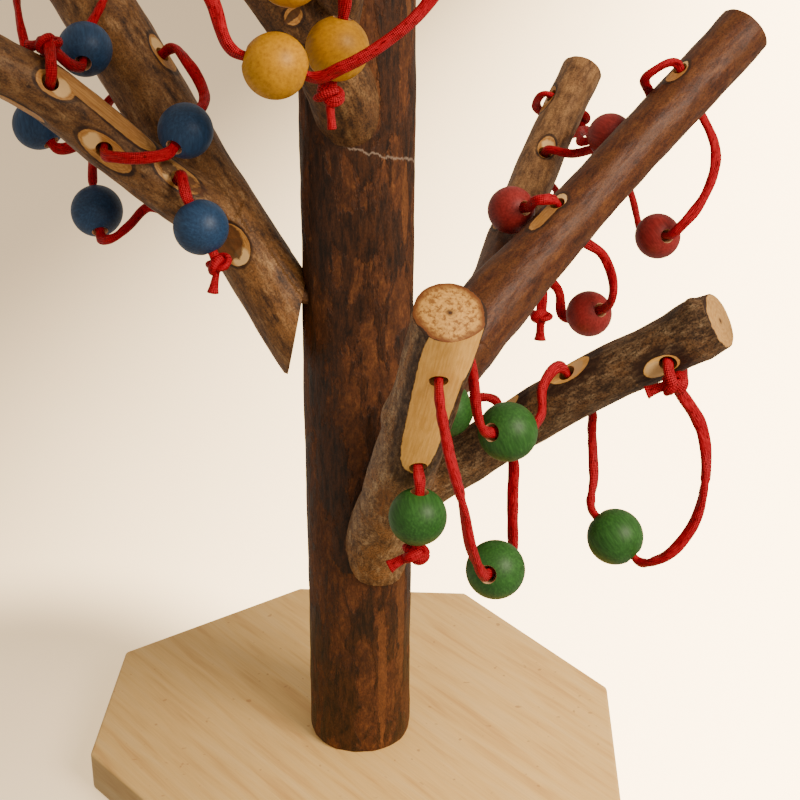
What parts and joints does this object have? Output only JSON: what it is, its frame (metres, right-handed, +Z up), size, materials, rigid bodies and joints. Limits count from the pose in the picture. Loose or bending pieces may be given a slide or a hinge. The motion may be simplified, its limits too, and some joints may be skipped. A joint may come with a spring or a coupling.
{
  "type": "threading tree",
  "caption": "Natural branch threading tree on a cut octagon board: forked branches with cross holes, knotted cords and loose round wooden beads.",
  "frame": {"origin": "underside of the board, under the trunk's axis", "axes": "+X to the viewer's right, +Y away from the viewer, +Z up along the trunk"},
  "size_m": [0.3202, 0.3194, 0.3993],
  "materials": {
    "board_pine": "sanded and waxed",
    "trunk_bark": "smooth bark, waxed",
    "branch_green": "bark",
    "branch_red": "bark",
    "branch_blue": "bark",
    "branch_yellow": "bark",
    "bead_green": "dyed, satin",
    "bead_blue": "dyed, satin",
    "bead_red": "dyed, satin",
    "bead_yellow": "dyed, satin",
    "cord_satin": "satin weave",
    "dowel_beech": "plain",
    "screw_steel": "plain"
  },
  "bodies": {
    "tree": {"base_board": "board_pine", "trunk": "trunk_bark", "fork_green": "branch_green", "fork_red": "branch_red", "fork_blue": "branch_blue", "fork_yellow": "branch_yellow", "dowel_green_1": "dowel_beech", "dowel_green_2": "dowel_beech", "dowel_red_1": "dowel_beech", "dowel_red_2": "dowel_beech", "dowel_blue_1": "dowel_beech", "dowel_blue_2": "dowel_beech", "dowel_yellow_1": "dowel_beech", "dowel_yellow_2": "dowel_beech", "trunk_screw_1": "screw_steel", "trunk_screw_2": "screw_steel", "cord_green": "cord_satin", "cord_green_stop_knot": "cord_satin", "cord_green_tie": "cord_satin", "cord_red": "cord_satin", "cord_red_stop_knot": "cord_satin", "cord_red_tie": "cord_satin", "cord_blue": "cord_satin", "cord_blue_stop_knot": "cord_satin", "cord_blue_tie": "cord_satin", "cord_yellow": "cord_satin", "cord_yellow_stop_knot": "cord_satin", "cord_yellow_tie": "cord_satin"},
    "bead_green_1": {"bead_green_1": "bead_green"},
    "bead_green_2": {"bead_green_2": "bead_green"},
    "bead_green_3": {"bead_green_3": "bead_green"},
    "bead_green_4": {"bead_green_4": "bead_green"},
    "bead_green_5": {"bead_green_5": "bead_green"},
    "bead_blue_1": {"bead_blue_1": "bead_blue"},
    "bead_blue_2": {"bead_blue_2": "bead_blue"},
    "bead_blue_3": {"bead_blue_3": "bead_blue"},
    "bead_blue_4": {"bead_blue_4": "bead_blue"},
    "bead_blue_5": {"bead_blue_5": "bead_blue"},
    "bead_red_1": {"bead_red_1": "bead_red"},
    "bead_red_2": {"bead_red_2": "bead_red"},
    "bead_red_3": {"bead_red_3": "bead_red"},
    "bead_red_4": {"bead_red_4": "bead_red"},
    "bead_red_5": {"bead_red_5": "bead_red"},
    "bead_yellow_1": {"bead_yellow_1": "bead_yellow"},
    "bead_yellow_2": {"bead_yellow_2": "bead_yellow"},
    "bead_yellow_3": {"bead_yellow_3": "bead_yellow"},
    "bead_yellow_4": {"bead_yellow_4": "bead_yellow"},
    "bead_yellow_5": {"bead_yellow_5": "bead_yellow"}
  },
  "joints": [
    {"name": "bead_green_1_spin", "type": "hinge", "parent": "tree", "child": "bead_green_1", "pos_m": [0.0224, -0.0868, 0.1684], "axis": [0.0599, 0.02, 0.998], "continuous": true},
    {"name": "bead_green_2_spin", "type": "hinge", "parent": "tree", "child": "bead_green_2", "pos_m": [0.0324, -0.0476, 0.19], "axis": [0.927, 0.103, 0.3605], "continuous": true},
    {"name": "bead_green_3_spin", "type": "hinge", "parent": "tree", "child": "bead_green_3", "pos_m": [0.0484, -0.102, 0.1568], "axis": [-0.3313, -0.8835, 0.3313], "continuous": true},
    {"name": "bead_green_4_spin", "type": "hinge", "parent": "tree", "child": "bead_green_4", "pos_m": [0.052, -0.086, 0.2004], "axis": [0.6228, 0.7133, -0.3215], "continuous": true},
    {"name": "bead_green_5_spin", "type": "hinge", "parent": "tree", "child": "bead_green_5", "pos_m": [0.0928, -0.0692, 0.1508], "axis": [0.6702, -0.4501, -0.5901], "continuous": true},
    {"name": "bead_blue_1_spin", "type": "hinge", "parent": "tree", "child": "bead_blue_1", "pos_m": [-0.0556, -0.0176, 0.2476], "axis": [-0.4209, 0.2505, 0.8718], "continuous": true},
    {"name": "bead_blue_2_spin", "type": "hinge", "parent": "tree", "child": "bead_blue_2", "pos_m": [-0.1012, 0.0264, 0.2388], "axis": [-0.2109, 0.7534, 0.6228], "continuous": true},
    {"name": "bead_blue_3_spin", "type": "hinge", "parent": "tree", "child": "bead_blue_3", "pos_m": [-0.0612, -0.004, 0.2792], "axis": [0.3491, 0.8479, 0.399], "continuous": true},
    {"name": "bead_blue_4_spin", "type": "hinge", "parent": "tree", "child": "bead_blue_4", "pos_m": [-0.1252, 0.0456, 0.2676], "axis": [-0.5812, 0.501, 0.6413], "continuous": true},
    {"name": "bead_blue_5_spin", "type": "hinge", "parent": "tree", "child": "bead_blue_5", "pos_m": [-0.0996, 0.0196, 0.3028], "axis": [0.0697, -0.9454, -0.3184], "continuous": true},
    {"name": "bead_red_1_spin", "type": "hinge", "parent": "tree", "child": "bead_red_1", "pos_m": [0.0624, 0.0796, 0.2224], "axis": [0.5493, -0.759, 0.3495], "continuous": true},
    {"name": "bead_red_2_spin", "type": "hinge", "parent": "tree", "child": "bead_red_2", "pos_m": [0.0984, 0.0856, 0.1732], "axis": [-0.4192, 0.7585, -0.499], "continuous": true},
    {"name": "bead_red_3_spin", "type": "hinge", "parent": "tree", "child": "bead_red_3", "pos_m": [0.0792, 0.1136, 0.1928], "axis": [-0.1003, 0.6516, 0.7519], "continuous": true},
    {"name": "bead_red_4_spin", "type": "hinge", "parent": "tree", "child": "bead_red_4", "pos_m": [0.1292, 0.106, 0.202], "axis": [0.2905, -0.9016, 0.3206], "continuous": true},
    {"name": "bead_red_5_spin", "type": "hinge", "parent": "tree", "child": "bead_red_5", "pos_m": [0.1072, 0.118, 0.2436], "axis": [-0.9045, 0.3015, -0.3015], "continuous": true},
    {"name": "bead_yellow_1_spin", "type": "hinge", "parent": "tree", "child": "bead_yellow_1", "pos_m": [-0.004, -0.0668, 0.3232], "axis": [0.1899, 0.07, 0.9793], "continuous": true},
    {"name": "bead_yellow_2_spin", "type": "hinge", "parent": "tree", "child": "bead_yellow_2", "pos_m": [-0.0184, -0.0372, 0.356], "axis": [-0.9938, -0.0994, 0.0497], "continuous": true},
    {"name": "bead_yellow_3_spin", "type": "hinge", "parent": "tree", "child": "bead_yellow_3", "pos_m": [-0.0172, -0.0832, 0.3492], "axis": [0.9988, 0, -0.0499], "continuous": true},
    {"name": "bead_yellow_4_spin", "type": "hinge", "parent": "tree", "child": "bead_yellow_4", "pos_m": [-0.02, -0.05, 0.3732], "axis": [-0.9988, 0, 0.0499], "continuous": true},
    {"name": "bead_yellow_5_spin", "type": "hinge", "parent": "tree", "child": "bead_yellow_5", "pos_m": [-0.0216, -0.0896, 0.3232], "axis": [0.9536, 0, -0.3011], "continuous": true}
  ]
}
